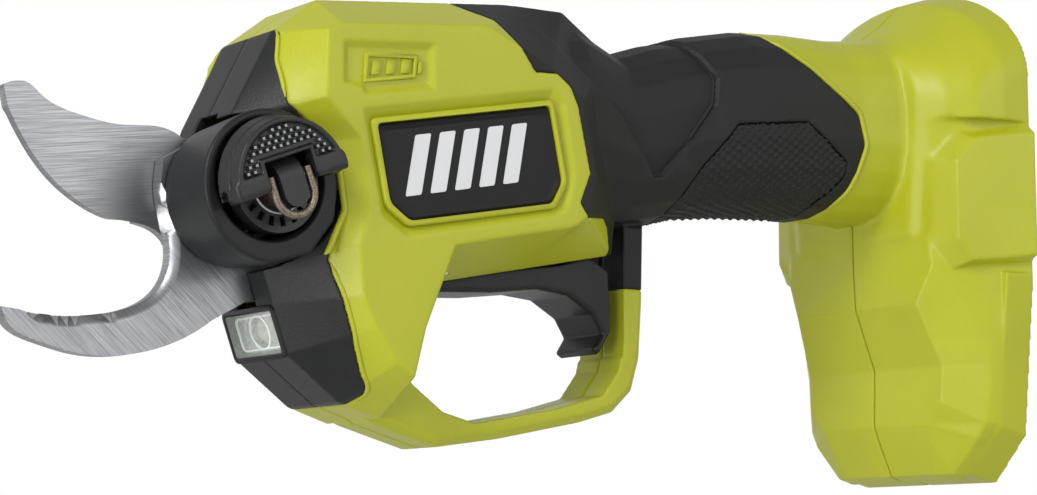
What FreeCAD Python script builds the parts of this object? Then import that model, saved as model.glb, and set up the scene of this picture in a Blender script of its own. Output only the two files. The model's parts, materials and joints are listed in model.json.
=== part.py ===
import FreeCAD, Part
import os
from math import cos, pi, radians, sin, sqrt
from FreeCAD import Vector as V

os.makedirs("parts", exist_ok=True)

# Battery electric pruner, millimetres.  X runs along the tool: the blades point to -X and the
# battery dock opens to +X.  Z is up, and y = 0 is the parting plane of the two housing halves.
# The origin is the centre of the battery stem pocket's mouth, in the plane of the dock's rear rim.

# ---- driving dimensions -------------------------------------------------------------------
WALL = 2.4                  # moulded wall thickness
HEAD_SIDE = 11.0            # half width of the head where its bevels start
HEAD_HALF = 27.0            # half width of the head at its flat label faces
GUARD_HALF = 9.0            # half width of the finger guard
OVERMOULD = 2.2             # thickness of the soft grip skin
DOCK_HALF = 39.0            # half width of the dock rim
BLOCK_HALF = 41.4           # half width across the latch blocks
STEM_W, STEM_H, STEM_DEPTH = 23.0, 25.0, 52.0    # battery stem pocket, clear size
SLEEVE_T = 1.3              # wall of the stem sleeve
POCKET_DEPTH = 9.0          # recess of the dock face behind the rim

PIVOT = V(-222.0, 0.0, -31.4)       # blade pivot axis, along Y
BLADE_GAP = 0.1             # half the gap between the two blades
CUTTER_T, HOOK_T = 3.0, 3.8         # blade thicknesses
BOLT_R = 4.0
COLLAR_BASE_R, COLLAR_RIM_R, COLLAR_BORE_R = 15.9, 17.1, 14.1
COLLAR_Y0, COLLAR_Y1 = -4.3, -24.0

FRAME_SCREWS = [(-199, -39), (-199, -50)]      # (x, z) of the screws that hold the hook blade

CRANK_R = 14.0              # crank pin circle on the cutting blade's tail
LEAN_OPEN = 52.0            # crank angle behind the vertical with the blades open, degrees
PIN_R = 1.8
SLOT_PLAY = 0.45            # free play of the crank pin each side of the nut's slot
SLOT_LAG = 0.3              # the slot sits this far back, to halve the fork's error
DRIVE_Z = -20.0             # height of the motor, gearbox and screw axis
NUT_X0, NUT_X1 = -194.0, -182.0
SCREW_PITCH = 3.0
BEARING_X0, BEARING_X1 = -181.3, -176.8
CASE_X0, MOTOR_X0, MOTOR_X1 = -176.5, -160.5, -132.6
MOTOR_R = 14.0

KNOB_TILT = 21.0            # rise of the flip lever's straight edge, degrees
LEVER_R = 13.8              # flip lever half disc at its outer face
HINGE_N, HINGE_Y = 1.0, -27.4       # flip lever hinge line, above the knob axis and outward
LUG_R = 4.75                # knuckle radius about the hinge line
EAR_R = 2.3                 # lever ears around the hinge pin
HINGE_PIN_R = 0.8

SCREWS = [(-205, 6), (-160, 8), (-190, -72), (-62, 16), (-88, -19), (-18, 24)]  # (x, z) in the housing
PILOT_END = -9.5            # y where the screws' pilot holes end
SEAT_Y = 8.0                # y of the seats under the screw heads
BOSS_R, PILOT_R, HEAD_HOLE_R = 3.4, 1.55, 3.0

LAMP = V(-212.0, 0, -61.2)  # centre of the lamp lens
LAMP_TILT = 20.0            # the lamp looks forward and this much downward, degrees

TRIGGER_PIN = V(-171.0, 0.0, -45.0)
TRIGGER_HALF = 8.4          # half width of the trigger
TRIGGER_PIN_R = 1.5
SWITCH_X0, SWITCH_X1 = -131.0, -114.5
PLUNGER_X, SPRING_X = -126.0, -118.8

# ---- helpers ------------------------------------------------------------------------------
X, Y, Z = V(1, 0, 0), V(0, 1, 0), V(0, 0, 1)


def rod(radius, start, end):
    """Solid cylinder between two points."""
    axis = end - start
    return Part.makeCylinder(radius, axis.Length, start, axis)


def tube(outer, inner, start, end):
    return rod(outer, start, end).cut(rod(inner, start, end))


def cone(r0, r1, start, end):
    axis = end - start
    return Part.makeCone(r0, r1, axis.Length, start, axis)


def block(x0, x1, y0, y1, z0, z1):
    return Part.makeBox(x1 - x0, y1 - y0, z1 - z0, V(x0, y0, z0))


def wire_xz(points, y):
    path = [V(x, y, z) for x, z in points]
    return Part.makePolygon(path + path[:1])


def plate(points, y0, y1):
    """Prism with an outline in the XZ plane, from y0 to y1."""
    return Part.Face(wire_xz(points, y0)).extrude(V(0, y1 - y0, 0))


def loft_y(sections):
    """Faceted solid through (outline, y) sections that have the same number of points."""
    return Part.makeLoft([wire_xz(points, y) for points, y in sections], True, True)


def loft_x(sections):
    """Faceted solid through (x, [(y, z), ...]) sections with the same number of points."""
    wires = []
    for x, points in sections:
        path = [V(x, y, z) for y, z in points]
        wires.append(Part.makePolygon(path + path[:1]))
    return Part.makeLoft(wires, True, True)


def inset(points, amount):
    """The outline moved inward by amount; outward if it is negative."""
    count = len(points)
    area = sum(points[i][0] * points[(i + 1) % count][1] - points[(i + 1) % count][0] * points[i][1]
               for i in range(count))
    side = amount if area > 0 else -amount
    moved = []
    for i in range(count):
        (ax, az), (bx, bz), (cx, cz) = points[i - 1], points[i], points[(i + 1) % count]
        l1, l2 = sqrt((bx - ax) ** 2 + (bz - az) ** 2), sqrt((cx - bx) ** 2 + (cz - bz) ** 2)
        n1 = (-(bz - az) / l1, (bx - ax) / l1)
        n2 = (-(cz - bz) / l2, (cx - bx) / l2)
        scale = side / (1 + n1[0] * n2[0] + n1[1] * n2[1])
        moved.append((bx + (n1[0] + n2[0]) * scale, bz + (n1[1] + n2[1]) * scale))
    return moved


def mirror(shape):
    return shape.mirror(V(0, 0, 0), Y)


def fused(shapes):
    return shapes[0].multiFuse(shapes[1:]).removeSplitter()


def save(name, *solids):
    """One STEP file for a node; a group of identical pieces is saved as separate solids."""
    shapes = []
    for solid in solids:
        if not solid.isValid():
            solid.fix(1e-4, 1e-4, 1e-4)
        parts = sorted(solid.Solids, key=lambda s: -s.Volume)
        shapes += [part for part in parts if part.Volume > 0.02 * parts[0].Volume]
    shape = shapes[0] if len(shapes) == 1 else Part.makeCompound(shapes)
    print("%-22s solids %d  valid %s  volume %8.0f" % (name, len(shapes), shape.isValid(), shape.Volume))
    shape.exportStep("parts/%s.step" % name)


LEFT = block(-320, 60, -80, 0, -140, 90)
RIGHT = block(-320, 60, 0, 80, -140, 90)


def save_halves(name, shape):
    """Split a symmetric moulding on the parting plane into its left (-Y) and right (+Y) shells."""
    save(name + "_left", shape.common(LEFT))
    save(name + "_right", shape.common(RIGHT))


# ---- outlines in the XZ plane -------------------------------------------------------------
# Head at the side walls (|y| up to HEAD_SIDE) and at the label faces, point for point.
HEAD_WALL = [(-226, -15), (-215.6, 5.6), (-204, 14.5), (-151, 20.5), (-134, 21), (-120, 12),
             (-117, -22), (-119, -37.5), (-148, -43.2), (-175, -48.5), (-180, -64), (-186, -80),
             (-197, -76.5), (-210.5, -66.5), (-214.5, -55.6), (-217, -48), (-228, -41), (-228, -21)]
HEAD_FACE = [(-210.4, -10.8), (-210.5, 4.2), (-207, 6), (-167, 10.4), (-149, 2.5), (-140, -4),
             (-136, -22), (-138, -31), (-142, -34), (-176, -41), (-184, -60), (-187, -71.5),
             (-191.5, -68.5), (-197, -61), (-200.5, -54), (-201.6, -43.1), (-198.9, -34.7),
             (-201.3, -19.4)]
# Rear edge of the black nose cover on the head.
NOSE_REGION = [(-245, 20), (-213, 12), (-216.6, -2), (-216.6, -12), (-208, -20), (-204, -32),
               (-206.5, -46), (-203.8, -54), (-200, -64), (-196.4, -70.3), (-193, -74.5),
               (-197, -79), (-245, -90)]
GUARD_OUTER = [(-200, -60), (-198, -74), (-186, -80.5), (-168, -85.5), (-150, -83), (-126, -78.3),
               (-116, -75.5), (-110, -70), (-107.5, -62), (-106.5, -48), (-106, -28), (-150, -28)]
GUARD_OPENING = [(-178, -64), (-177, -56), (-174, -48.6), (-148, -43.3), (-120, -37.8), (-113.6, -41),
                 (-113.4, -58), (-115, -65), (-120, -71.5), (-134, -75.3), (-158, -79.6),
                 (-167, -77.4), (-176, -71)]

# Where the soft skin covers the grip.
SKIN_ZONE = [(-151, 25), (-137, 0), (-135, -24), (-128, -28), (-119, -31), (-116, -36), (-98, -36),
             (-52, -30), (-44, -15), (-41, -4), (-43, 4), (-66, 20), (-76, 30), (-90, 35)]


def ring_section(half_width, low, high, count=20, power=2.5):
    """Rounded grip section in the YZ plane, as (y, z) points."""
    points = []
    for i in range(count):
        angle = 2 * pi * (i + 0.5) / count
        c, s = cos(angle), sin(angle)
        y = half_width * abs(c) ** (2 / power) * (1 if c > 0 else -1)
        z = (high - low) / 2 * abs(s) ** (2 / power) * (1 if s > 0 else -1)
        points.append((y, (high + low) / 2 + z))
    return points


# Grip stations: x, lowest z, highest z, half width.
GRIP = [(-146, -30, 17, 23), (-131, -31.5, 19.5, 21.5), (-116, -31, 13.6, 19), (-105, -29, 17.5, 19),
        (-92, -25.4, 21.2, 19.5), (-75, -23.5, 24.8, 20), (-58, -22.5, 26.4, 19.8),
        (-42, -22, 26.8, 19.8), (-27, -22, 28.5, 21.5), (-16, -24, 32, 24)]


def grip_body(depth, first=0, last=None):
    """The grip's outer form, reduced by depth all round."""
    return loft_x([(x, ring_section(half - depth, low + depth, high - depth))
                   for x, low, high, half in GRIP[first:last]])


def dock_section(half_width, low, high):
    """Dock outline in the YZ plane: arched top, straight sides, chamfered foot."""
    points = []
    shoulder = high - 0.72 * half_width
    for i in range(9):
        angle = pi * i / 8
        points.append((half_width * cos(angle), shoulder + (high - shoulder) * sin(angle)))
    foot = [(-half_width, low + 54), (-half_width + 2, low + 34), (-half_width + 4, low + 13),
            (-half_width + 15, low + 0.8)]
    points += foot
    points += [(-y, z) for y, z in reversed(foot)]
    return points


# Dock stations: x, half width, lowest z, highest z.
DOCK = [(-28, 24, -46, 27), (-23, 31, -60, 30), (-17, 36.5, -79, 34), (-9, 38.5, -89.5, 41),
        (0, DOCK_HALF, -91.5, 44)]


def dock_body(depth, rear):
    """The dock's outer form up to x = rear, reduced by depth all round."""
    sections = [(x + depth if x < rear - depth else x,
                 dock_section(half - depth, low + depth, high - depth))
                for x, half, low, high in DOCK]
    body = loft_x(sections)
    return body.common(block(-60, rear, -60, 60, -120, 80))


# ---- housings -----------------------------------------------------------------------------
def stem_box(x0, x1, grow):
    """The battery stem's space from x0 to x1, larger by grow on each side."""
    half, top = STEM_W / 2 + grow, STEM_H / 2 + grow
    return block(x0, x1, -half, half, -top, top)


def latch_strike(grow):
    return block(-12.5 - grow, -9.4 + grow, 33.2 - grow, 35.4 + grow, -24 - grow, -8 + grow)


def tilted_lamp(shape):
    """Place a shape drawn with the lamp's lens at the origin, facing -X."""
    placed = shape.copy()
    placed.rotate(V(0, 0, 0), Y, -LAMP_TILT)
    placed.translate(LAMP)
    return placed


def head_body(depth):
    wall, face = inset(HEAD_WALL, depth), inset(HEAD_FACE, depth)
    side = HEAD_SIDE if depth == 0 else HEAD_SIDE - 0.4 * depth
    return loft_y([(face, -HEAD_HALF + depth), (wall, -side), (wall, side), (face, HEAD_HALF - depth)])


def guard_body(grow=0):
    bevel = 2.0
    outer, half = inset(GUARD_OUTER, -grow), GUARD_HALF + grow
    return loft_y([(inset(outer, bevel), -half), (outer, bevel - half), (outer, half - bevel),
                   (inset(outer, bevel), half)])


def latch_blocks():
    base = [(-30, -29), (-24, -36), (-0.6, -33.5), (-0.6, 3.5), (-22, 0.5), (-30, -7)]
    left = loft_y([(inset(base, 2.2), -BLOCK_HALF), (base, -BLOCK_HALF + 3), (base, -33)])
    return [left, mirror(left)]


def housings():
    head, grip, dock = head_body(0), grip_body(0), dock_body(0, 0)
    nose_region = plate(NOSE_REGION, -60, 60)
    opening = plate(GUARD_OPENING, -60, 60)

    # The soft skin is let into the grip, so the core is thinner under it.
    core = grip_body(OVERMOULD).fuse(grip.cut(plate(SKIN_ZONE, -60, 60)))
    outside = fused([head, guard_body(), core, dock] + latch_blocks())

    cavity = [head_body(WALL), grip_body(OVERMOULD + WALL, 0, 9),
              dock_body(WALL, -POCKET_DEPTH - WALL)]
    rear_recess = dock_body(WALL + 0.8, 0).common(block(-POCKET_DEPTH, 1, -60, 60, -120, 80))
    stem_hole = stem_box(-58, 1, SLEEVE_T + 0.15)
    trigger_slot = block(-177, -113.6, -TRIGGER_HALF - 0.8, TRIGGER_HALF + 0.8, -62, -29)
    blade_slot = block(-250, -206, -4.2, 4.2, -61, -13)
    switch_bay = block(SWITCH_X0 - 0.2, SWITCH_X1 + 0.2, -6.7, 6.7, -40, -14)
    pin_hole = rod(TRIGGER_PIN_R + 0.05, TRIGGER_PIN + V(0, -14.7, 0), TRIGGER_PIN + V(0, 14.7, 0))
    strikes = [latch_strike(0.05), mirror(latch_strike(0.05))]
    bays = [opening, rear_recess, stem_hole, trigger_slot, switch_bay, pin_hole] + strikes
    shell = outside.cut(cavity + bays)

    solid_bosses = []
    for x, z in SCREWS:
        solid_bosses.append(rod(BOSS_R, V(x, -30, z), V(x, 30, z)))
    inside = outside.cut(bays)
    posts = Part.makeCompound(solid_bosses).common(inside)
    shell = fused([shell, posts])
    for x, z in SCREWS:
        shell = shell.cut(rod(PILOT_R, V(x, PILOT_END, z), V(x, 30, z)))
        shell = shell.cut(rod(HEAD_HOLE_R, V(x, SEAT_Y, z), V(x, 45, z)))

    nose = shell.common(nose_region)
    collar_seat = rod(COLLAR_RIM_R + 0.3, PIVOT + V(0, -40, 0), PIVOT + V(0, -4.2, 0))
    cap_seat = rod(11.3, PIVOT + V(0, 3.4, 0), PIVOT + V(0, 40, 0))
    lamp_window = tilted_lamp(block(-6, 9, -10.3, 10.3, -5.3, 5.3))
    fork_relief = block(-225.6, -205, 3.3, 7.3, -27, -16.2)
    nose = nose.cut([collar_seat, cap_seat, blade_slot, lamp_window, fork_relief])
    green = shell.cut([nose_region, collar_seat, cap_seat, blade_slot])
    save_halves("nose_cover", nose)
    save_halves("housing", green)


housings()


# ---- grip skins and trim ------------------------------------------------------------------
def grip_skins():
    pad = [(-84.5, -2.5), (-61, 0.5), (-46.5, -8.5), (-46.5, -12.5), (-53, -20), (-55, -30), (-104, -30),
           (-99, -20.5), (-96, -15)]
    skin = grip_body(0).cut(grip_body(OVERMOULD)).common(plate(inset(SKIN_ZONE, 0.1), -60, 60))
    skin = skin.cut([head_body(-0.05), guard_body(0.1)])
    holes = [rod(HEAD_HOLE_R + 0.1, V(x, 5, z), V(x, 45, z)) for x, z in SCREWS]
    save_halves("grip_overmould", skin.cut([plate(pad, -60, 60)] + holes))
    pads = grip_body(0).cut(grip_body(OVERMOULD)).common(plate(inset(pad, 0.15), -60, 60))
    save_halves("grip_pad", pads.cut(holes))


def badges():
    outline = [(-197.3, -15.7), (-149.7, -6.4), (-146, -23.9), (-148.8, -29), (-188.5, -36.4),
               (-193.7, -32.9)]
    left = plate(outline, -HEAD_HALF - 0.9, -HEAD_HALF - 0.01)
    save("badge_left", left)
    save("badge_right", mirror(left))


def lamp():
    save("lamp_lens", tilted_lamp(block(-1, 1, -9.9, 9.9, -4.9, 4.9)))
    shell = block(1.1, 8, -9.4, 9.4, -4.4, 4.4)
    bowl = cone(3.9, 2.0, V(1, 0, 0), V(7, 0, 0))
    save("lamp_reflector", tilted_lamp(shell.cut([bowl, rod(2.0, V(6, 0, 0), V(9, 0, 0))])))
    board = block(8.1, 9.3, -8, 8, -4, 4)
    save("lamp_board", tilted_lamp(board.fuse(block(7, 8.1, -1.4, 1.4, -1.4, 1.4))))


# ---- blades and pivot ---------------------------------------------------------------------
HOOK_OUTER = [(-275.5, -59.2), (-273.5, -63.1), (-266.4, -66.2), (-256.9, -68.2), (-247.3, -68.0),
              (-235, -64.7), (-225.5, -59.2)]
HOOK_TAIL = [(-217, -54.5), (-193, -52), (-193, -34), (-207, -34), (-212, -22.5), (-222, -18.4),
             (-232, -20.6), (-238.2, -24.3)]
HOOK_EDGE = [(-238.7, -29.7), (-238.1, -34.2), (-236.5, -40.5), (-235.9, -46), (-238.7, -53.1),
             (-242.6, -56.2), (-252.3, -59.3), (-261.9, -60.3), (-271.3, -59.6)]
CUTTER_BACK = [(-231.5, -18.5), (-237.3, -16.6), (-246.3, -17.1), (-256.2, -16), (-265.9, -12.5),
               (-269.3, -10.2), (-271, -10.1), (-274.5, -11.4)]
CUTTER_EDGE = [(-273.4, -16), (-269.9, -22), (-263.1, -30.2), (-255.7, -35.3), (-248, -38),
               (-240.6, -38.8), (-234.5, -42.5)]
CUTTER_HEEL = [(-224, -43.2), (-213.5, -38), (-213.5, -25), (-222, -18.9)]


def spline_outline(*runs):
    """Face outline in the XZ plane, from smooth runs and straight joins between them."""
    edges = []
    for index, run in enumerate(runs):
        points = [V(x, 0, z) for x, z in run]
        if len(points) > 2:
            curve = Part.BSplineCurve()
            curve.interpolate(points)
            edges.append(curve.toShape())
        else:
            edges.append(Part.LineSegment(points[0], points[1]).toShape())
        x, z = runs[(index + 1) % len(runs)][0]
        if (points[-1] - V(x, 0, z)).Length > 1e-6:
            edges.append(Part.LineSegment(points[-1], V(x, 0, z)).toShape())
    return Part.Face(Part.Wire(edges))


def straight(points):
    """The straight runs between successive points."""
    return list(zip(points, points[1:]))


def hook_blade():
    face = spline_outline(HOOK_OUTER, *straight(HOOK_TAIL), HOOK_EDGE)
    body = face.extrude(V(0, -HOOK_T, 0)).translate(V(0, -BLADE_GAP, 0))
    body = body.cut(rod(BOLT_R + 1.5, PIVOT + V(0, -20, 0), PIVOT + V(0, 20, 0)))
    for x, z in FRAME_SCREWS:
        body = body.cut(rod(2.0, V(x, -20, z), V(x, 20, z)))
    return body


def cutting_blade():
    tail_end = crank_point(LEAN_OPEN)
    face = spline_outline(CUTTER_BACK, CUTTER_EDGE, *straight(CUTTER_HEEL))
    hub = rod(9.5, PIVOT, PIVOT + V(0, CUTTER_T, 0))
    arm = plate([(PIVOT.x + x, PIVOT.z + z) for x, z in tangent_arm(7.5, 3.6)], 0, CUTTER_T)
    blade = face.extrude(V(0, CUTTER_T, 0))
    body = blade.multiFuse([hub, arm, rod(3.6, tail_end, tail_end + V(0, CUTTER_T, 0))])
    body = body.removeSplitter().translate(V(0, BLADE_GAP, 0))
    body = body.cut(rod(BOLT_R + 1.55, PIVOT + V(0, -20, 0), PIVOT + V(0, 20, 0)))
    return body.cut(rod(PIN_R, tail_end - V(0, 5, 0), tail_end + V(0, 5, 0)))


def crank_point(lean):
    angle = radians(lean)
    return PIVOT + V(CRANK_R * sin(angle), 0, CRANK_R * cos(angle))


def tangent_arm(r0, r1):
    """Tapered arm from the pivot to the crank pin, relative to the pivot."""
    angle = radians(LEAN_OPEN)
    along, across = (sin(angle), cos(angle)), (cos(angle), -sin(angle))
    ends = [(0, r0), (0, -r0), (CRANK_R, -r1), (CRANK_R, r1)]
    return [(a * along[0] + b * across[0], a * along[1] + b * across[1]) for a, b in ends]


def blades():
    save("hook_blade", hook_blade())
    save("cutting_blade", cutting_blade())
    pin = crank_point(LEAN_OPEN)
    save("crank_pin", rod(PIN_R, pin + V(0, BLADE_GAP, 0), pin + V(0, 6.8, 0)))
    save("pivot_bushing", tube(BOLT_R + 1.5, BOLT_R, PIVOT + V(0, -3.9, 0), PIVOT + V(0, 3.4, 0)))
    bolt = rod(BOLT_R, PIVOT + V(0, -20, 0), PIVOT + V(0, 7.2, 0))
    head = rod(6.6, PIVOT + V(0, 7.2, 0), PIVOT + V(0, 10.6, 0))
    socket = rod(2.6, PIVOT + V(0, 8.6, 0), PIVOT + V(0, 11, 0))
    save("pivot_bolt", fused([bolt, head]).cut(socket))
    washers = [tube(8.6, BOLT_R + 0.05, PIVOT + V(0, -5.1, 0), PIVOT + V(0, -4.0, 0)),
               tube(5.1, BOLT_R + 0.05, PIVOT + V(0, 3.5, 0), PIVOT + V(0, 7.1, 0))]
    save("pivot_washers", *washers)
    rear = BEARING_X1 - 0.2
    frame = plate([(-210, -52), (-190, -52), (rear, -36), (rear, -32), (-210, -32)], -8.5, -4.0)
    seat = tube(11.4, 8.1, V(BEARING_X0, 0, DRIVE_Z), V(rear, 0, DRIVE_Z))
    web = block(BEARING_X0, rear, -8.5, -4, -34, -28)
    frame = fused([frame, seat, web])
    frame = frame.cut(rod(COLLAR_RIM_R + 0.3, PIVOT + V(0, -30, 0), PIVOT + V(0, 0, 0)))
    frame = frame.cut(rod(8.1, V(-190, 0, DRIVE_Z), V(-170, 0, DRIVE_Z)))
    screws = []
    for x, z in FRAME_SCREWS:
        frame = frame.cut(rod(1.95, V(x, -20, z), V(x, 0, z)))
        screws.append(fused([rod(1.9, V(x, -9.4, z), V(x, -BLADE_GAP - 0.6, z)),
                             rod(3.6, V(x, -10.6, z), V(x, -8.6, z))]))
    save("blade_frame", frame)
    save("frame_screws", *screws)


def collar_and_cap():
    body = cone(COLLAR_BASE_R, COLLAR_RIM_R, PIVOT + V(0, COLLAR_Y0, 0), PIVOT + V(0, COLLAR_Y1, 0))
    well = rod(COLLAR_BORE_R, PIVOT + V(0, -10.5, 0), PIVOT + V(0, -30, 0))
    bore = rod(8.8, PIVOT, PIVOT + V(0, -30, 0))
    save("pivot_collar", body.cut([well, bore]))
    shell = cone(11.0, 10.2, PIVOT + V(0, 7.4, 0), PIVOT + V(0, 15.5, 0))
    hollow = rod(8.4, PIVOT + V(0, 7, 0), PIVOT + V(0, 13.2, 0))
    save("pivot_cap", shell.cut(hollow))


# ---- tension knob with its flip lever -----------------------------------------------------
def knob_frame(shape):
    """Place a shape drawn about the Y axis (x along the lever's straight edge) on the knob."""
    placed = shape.copy()
    placed.rotate(V(0, 0, 0), Y, -KNOB_TILT)
    placed.translate(PIVOT)
    return placed


def tension_knob():
    wheel = tube(10.4, 5.2, V(0, -25.2, 0), V(0, -21.2, 0))
    slots = []
    for i in range(18):
        slot = block(6.9, 9.0, -26, -23.2, -0.65, 0.65)
        slot.rotate(V(0, 0, 0), Y, 20 * i)
        slots.append(slot)
    hub = tube(6.0, BOLT_R + 0.05, V(0, -25.2, 0), V(0, -11, 0))
    foot = tube(8.2, BOLT_R + 0.05, V(0, -11, 0), V(0, -5.3, 0))
    bridge = rod(6.0, V(0, -26.0, 0), V(0, -21.5, 0))
    # The lug carries the lever's pin; above the hinge line it is a knuckle the lever clears.
    knuckle = rod(LUG_R, V(-3.1, HINGE_Y, HINGE_N), V(3.1, HINGE_Y, HINGE_N))
    knuckle = knuckle.common(block(-5, 5, -40, -25, HINGE_N, 20))
    lug = block(-3.1, 3.1, HINGE_Y - LUG_R, -25.0, -2.5, HINGE_N)
    toe = rod(3.1, V(0, HINGE_Y - LUG_R, -2.5), V(0, -25.0, -2.5))
    body = fused([wheel.cut(slots), hub, foot, bridge, lug, toe, knuckle])
    hole = rod(HINGE_PIN_R + 0.05, V(-9, HINGE_Y, HINGE_N), V(9, HINGE_Y, HINGE_N))
    save("tension_knob", knob_frame(body.cut(hole)))
    pin = rod(HINGE_PIN_R, V(-11.9, HINGE_Y, HINGE_N), V(11.9, HINGE_Y, HINGE_N))
    save("lever_pin", knob_frame(pin))


def wire_loop():
    radius, wire_r, y, bend, tip = 4.9, 0.85, -31.2, -2.4, 2.2
    legs = [rod(wire_r, V(side * radius, y, bend), V(side * radius, y, tip)) for side in (-1, 1)]
    ring = Part.Face(Part.Wire(Part.makeCircle(wire_r, V(-radius, y, bend), Z)))
    bow = ring.revolve(V(0, y, bend), V(0, -1, 0), 180)
    # The bow's foot is pressed into the knob's lug.
    stem = rod(wire_r, V(0, y, bend - radius), V(0, -25.4, bend - radius))
    save("wire_loop", knob_frame(fused([bow, stem] + legs)))


def flip_lever():
    disc = cone(LEVER_R, LEVER_R + 1.4, V(0, -33, 0), V(0, -26.2, 0))
    disc.rotate(V(0, 0, 0), V(0, 1, 0), 90)
    disc = disc.common(block(-20, 20, -40, -20, 0, 30))
    hollow = rod(LEVER_R - 1.6, V(0, -29.4, 0), V(0, -26, 0))
    hollow.rotate(V(0, 0, 0), V(0, 1, 0), 90)
    hollow = hollow.common(block(-20, 20, -30, -20, 1.6, 30))
    notch = block(-6.1, 6.1, -40, -20, -1, 5.5)
    ears = []
    for near, far in ((-13.3, -10.6), (10.6, 13.3)):
        lobe = rod(EAR_R, V(near, HINGE_Y, HINGE_N), V(far, HINGE_Y, HINGE_N))
        arm = block(near, far, -31, HINGE_Y, HINGE_N - EAR_R, HINGE_N + EAR_R)
        ears.append(lobe.fuse(arm))
    body = fused([disc.cut([hollow, notch])] + ears)
    body = body.cut(rod(HINGE_PIN_R + 0.05, V(-14, HINGE_Y, HINGE_N), V(14, HINGE_Y, HINGE_N)))
    save("flip_lever", knob_frame(body))


# ---- drive: motor, gearbox, ball screw, nut -------------------------------------------------
def axis_at(x):
    """The point of the drive axis at x."""
    return V(x, 0, DRIVE_Z)


def drive():
    pin = crank_point(LEAN_OPEN)
    nut = tube(8.0, 4.3, axis_at(NUT_X0), axis_at(NUT_X1))
    # A fork on the nut straddles the crank pin; it runs beside the blade's tail.
    slot_x = pin.x + SLOT_LAG
    cheek = block(slot_x - PIN_R - SLOT_PLAY - 1.1, NUT_X0 + 1, 3.7, 6.6, -26.0, -16.6)
    slot = block(slot_x - PIN_R - SLOT_PLAY, slot_x + PIN_R + SLOT_PLAY, 3, 8, -25.1, -14)
    body = nut.fuse(cheek.cut(slot)).cut(rod(4.3, axis_at(NUT_X0 - 12), axis_at(NUT_X1)))
    save("drive_nut", body.removeSplitter())
    turns = []
    for i in range(7):
        start = NUT_X0 - 9 + SCREW_PITCH * i
        turns.append(tube(3.9, 3.3, axis_at(start), axis_at(start + 1.5)))
    shaft = rod(3.4, axis_at(NUT_X0 - 9.5), axis_at(BEARING_X0 + 0.2))
    journal = rod(3.0, axis_at(BEARING_X0), axis_at(CASE_X0 + 0.5))
    flange = rod(9.0, axis_at(CASE_X0 + 0.4), axis_at(CASE_X0 + 3.2))
    save("drive_screw", fused([shaft, journal, flange] + turns))
    save("screw_bearing", tube(8.05, 3.05, axis_at(BEARING_X0 + 0.3), axis_at(BEARING_X1)))
    case = tube(13.6, 11.6, axis_at(CASE_X0), axis_at(MOTOR_X0 - 1.8))
    rear = tube(13.6, 3.0, axis_at(MOTOR_X0 - 1.8), axis_at(MOTOR_X0 - 0.1))
    save("gearbox_case", fused([case, rear]))
    save("ring_gear", tube(11.55, 10.0, axis_at(CASE_X0 + 4), axis_at(MOTOR_X0 - 1.9)))
    can = tube(MOTOR_R, MOTOR_R - 1.4, axis_at(MOTOR_X0), axis_at(MOTOR_X1 - 1.6))
    back = tube(MOTOR_R, 3.4, axis_at(MOTOR_X1 - 1.6), axis_at(MOTOR_X1))
    save("motor_can", fused([can, back]))
    ring = tube(MOTOR_R - 1.45, 10.6, axis_at(MOTOR_X0 + 4), axis_at(MOTOR_X1 - 6))
    lower = block(-200, -100, -20, 20, -60, DRIVE_Z - 3)
    upper = block(-200, -100, -20, 20, DRIVE_Z + 3, 20)
    save("motor_magnets", ring.common(lower), ring.common(upper))
    shaft = rod(1.6, axis_at(CASE_X0 + 5.0), axis_at(MOTOR_X1 + 1.2))
    core = rod(10.2, axis_at(MOTOR_X0 + 5), axis_at(MOTOR_X1 - 7))
    slots = []
    for i in range(5):
        slot = block(MOTOR_X0, MOTOR_X1, -0.9, 0.9, DRIVE_Z + 5, DRIVE_Z + 11)
        slot.rotate(axis_at(0), X, 72 * i)
        slots.append(slot)
    sun = rod(3.0, axis_at(CASE_X0 + 4.5), axis_at(MOTOR_X0 - 4))
    save("motor_rotor", fused([shaft, core.cut(slots), sun]))
    save("motor_bearings", tube(3.35, 1.65, axis_at(MOTOR_X1 - 2.2), axis_at(MOTOR_X1 - 0.1)),
         tube(2.95, 1.65, axis_at(MOTOR_X0 - 2), axis_at(MOTOR_X0 - 0.2)))


# ---- trigger and switch ---------------------------------------------------------------------
def trigger():
    profile = [(-174.5, -43), (-171, -41.2), (-160, -43.6), (-133, -40.2), (-124, -37.4), (-117.5, -41),
               (-116.8, -56), (-120.6, -61.6), (-122.2, -60.4), (-119.6, -56.5), (-122.5, -52),
               (-130, -47.8), (-139, -47), (-152, -48.6), (-170, -49.6), (-174.5, -48)]
    half = TRIGGER_HALF
    body = loft_y([(inset(profile, 0.6), -half), (profile, -half + 1), (profile, half - 1),
                   (inset(profile, 0.6), half)])
    body = body.cut(rod(TRIGGER_PIN_R + 0.05, TRIGGER_PIN + V(0, -20, 0), TRIGGER_PIN + V(0, 20, 0)))
    save("trigger", body)
    save("trigger_pin", rod(TRIGGER_PIN_R, TRIGGER_PIN + V(0, -14.5, 0), TRIGGER_PIN + V(0, 14.5, 0)))
    save("trigger_spring", tube(2.1, 1.4, V(SPRING_X, 0, -38.2), V(SPRING_X, 0, -28.3)))
    case = block(SWITCH_X0, SWITCH_X1, -5.4, 5.4, -28.2, -15)
    save("trigger_switch", case.cut(rod(2.25, V(PLUNGER_X, 0, -40), V(PLUNGER_X, 0, -20))))
    save("switch_plunger", rod(2.2, V(PLUNGER_X, 0, -37.0), V(PLUNGER_X, 0, -26.5)))


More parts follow.
